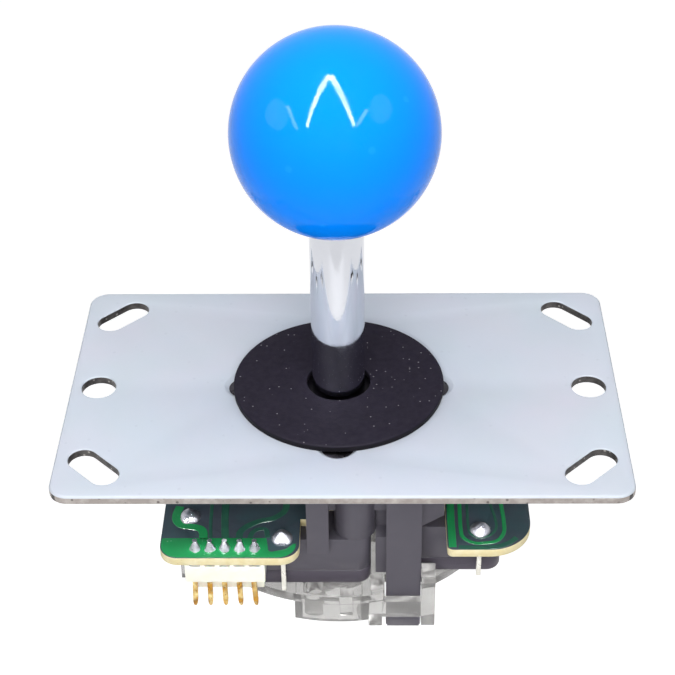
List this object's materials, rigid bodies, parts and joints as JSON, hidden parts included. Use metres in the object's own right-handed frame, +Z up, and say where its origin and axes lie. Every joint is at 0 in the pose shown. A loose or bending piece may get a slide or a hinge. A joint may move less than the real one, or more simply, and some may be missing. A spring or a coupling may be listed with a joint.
{
  "type": "arcade joystick",
  "caption": "Ball-top arcade lever under a flat steel mounting plate, with a switch on each side, a clear restrictor gate and a pin header.",
  "frame": {"origin": "midway between the two round holes of the mounting plate, on the plate's top face", "axes": "+Z up out of the panel towards the ball, +Y away from the player, +X to the player's right"},
  "size_m": [0.099, 0.0642, 0.1024],
  "materials": {
    "plate_steel": "satin powder-coated steel sheet",
    "dark_screw": "blackened steel",
    "black_abs": "satin moulded ABS",
    "board_green": "solder mask over glass-epoxy board",
    "solder": "bright solder",
    "ivory_nylon": "moulded nylon",
    "gold_pin": "gold-flashed pins",
    "switch_case": "moulded thermoset",
    "switch_cover": "moulded thermoset",
    "terminal_tin": "tinned blade",
    "plunger_red": "moulded button",
    "blade_steel": "spring steel",
    "clear_gate": "clear moulded polycarbonate",
    "white_acetal": "natural acetal",
    "spring_wire": "zinc-plated wire",
    "bush_black": "black acetal",
    "chrome_shaft": "polished chrome plate",
    "ball_blue": "glossy moulded ball",
    "brass_insert": "turned brass",
    "washer_black": "fine-grained plastic"
  },
  "bodies": {
    "frame": {"mounting_plate": "plate_steel", "plate_screws": "dark_screw", "base_body": "black_abs", "circuit_board": "board_green", "solder_joints": "solder", "header_housing": "ivory_nylon", "header_pins": "gold_pin", "switch_case_front": "switch_case", "switch_case_right": "switch_case", "switch_case_rear": "switch_case", "switch_case_left": "switch_case", "switch_cover_front": "switch_cover", "switch_cover_right": "switch_cover", "switch_cover_rear": "switch_cover", "switch_cover_left": "switch_cover", "switch_terminals_front": "terminal_tin", "switch_terminals_right": "terminal_tin", "switch_terminals_rear": "terminal_tin", "switch_terminals_left": "terminal_tin", "restrictor_gate": "clear_gate", "spring_collar": "white_acetal"},
    "dust_washer": {"dust_washer": "washer_black"},
    "centring_spring": {"centring_spring": "spring_wire"},
    "pivot_bush": {"pivot_bush": "bush_black"},
    "lever": {"shaft": "chrome_shaft", "ball_top": "ball_blue", "ball_insert": "brass_insert", "actuator": "white_acetal", "e_clip": "dark_screw"},
    "blade_front": {"switch_blade_front": "blade_steel"},
    "blade_right": {"switch_blade_right": "blade_steel"},
    "blade_rear": {"switch_blade_rear": "blade_steel"},
    "blade_left": {"switch_blade_left": "blade_steel"},
    "plunger_front": {"switch_plunger_front": "plunger_red"},
    "plunger_right": {"switch_plunger_right": "plunger_red"},
    "plunger_rear": {"switch_plunger_rear": "plunger_red"},
    "plunger_left": {"switch_plunger_left": "plunger_red"}
  },
  "joints": [
    {"name": "tilt_left_right", "type": "hinge", "parent": "frame", "child": "centring_spring", "pos_m": [-0.0008, 0.0004, -0.0038], "axis": [0, 1, 0], "range_deg": [-7, 7], "stiffness_Nm_per_rad": 0.3, "deforming": ["centring_spring"]},
    {"name": "tilt_fore_aft", "type": "hinge", "parent": "centring_spring", "child": "pivot_bush", "pos_m": [-0.0008, 0.0004, -0.0038], "axis": [1, 0, 0], "range_deg": [-7, 7], "stiffness_Nm_per_rad": 0.3},
    {"name": "lever_spin", "type": "hinge", "parent": "pivot_bush", "child": "lever", "pos_m": [-0.0008, 0.0004, -0.0038], "axis": [0, 0, 1], "continuous": true},
    {"name": "washer_spin", "type": "hinge", "parent": "frame", "child": "dust_washer", "pos_m": [-0.0008, 0.0004, 0], "axis": [0, 0, 1], "continuous": true},
    {"name": "blade_front_hinge", "type": "hinge", "parent": "frame", "child": "blade_front", "pos_m": [-0.01985, -0.00975, -0.01818], "axis": [0, 0, 1], "range_deg": [-5.4, 5.4]},
    {"name": "plunger_front_press", "type": "slide", "parent": "frame", "child": "plunger_front", "axis": [0, -1, 0], "range_m": [-0.00161, 0.00161]},
    {"name": "blade_right_hinge", "type": "hinge", "parent": "frame", "child": "blade_right", "pos_m": [0.01105, -0.0203, -0.01818], "axis": [0, 0, 1], "range_deg": [-5, 5]},
    {"name": "plunger_right_press", "type": "slide", "parent": "frame", "child": "plunger_right", "axis": [1, 0, 0], "range_m": [-0.00148, 0.00148]},
    {"name": "blade_rear_hinge", "type": "hinge", "parent": "frame", "child": "blade_rear", "pos_m": [0.01825, 0.01055, -0.01818], "axis": [0, 0, 1], "range_deg": [-5.4, 5.4]},
    {"name": "plunger_rear_press", "type": "slide", "parent": "frame", "child": "plunger_rear", "axis": [0, 1, 0], "range_m": [-0.00161, 0.00161]},
    {"name": "blade_left_hinge", "type": "hinge", "parent": "frame", "child": "blade_left", "pos_m": [-0.01265, 0.0211, -0.01818], "axis": [0, 0, 1], "range_deg": [-5, 5]},
    {"name": "plunger_left_press", "type": "slide", "parent": "frame", "child": "plunger_left", "axis": [-1, 0, 0], "range_m": [-0.00148, 0.00148]}
  ],
  "couplings": [
    {"joint": "blade_front_hinge", "follows": "tilt_fore_aft", "ratio": 0.7546},
    {"joint": "plunger_front_press", "follows": "tilt_fore_aft", "m_per_rad": -0.013054},
    {"joint": "blade_right_hinge", "follows": "tilt_left_right", "ratio": 0.6944},
    {"joint": "plunger_right_press", "follows": "tilt_left_right", "m_per_rad": -0.012014},
    {"joint": "blade_rear_hinge", "follows": "tilt_fore_aft", "ratio": -0.7546},
    {"joint": "plunger_rear_press", "follows": "tilt_fore_aft", "m_per_rad": 0.013054},
    {"joint": "blade_left_hinge", "follows": "tilt_left_right", "ratio": -0.6944},
    {"joint": "plunger_left_press", "follows": "tilt_left_right", "m_per_rad": 0.012014}
  ]
}
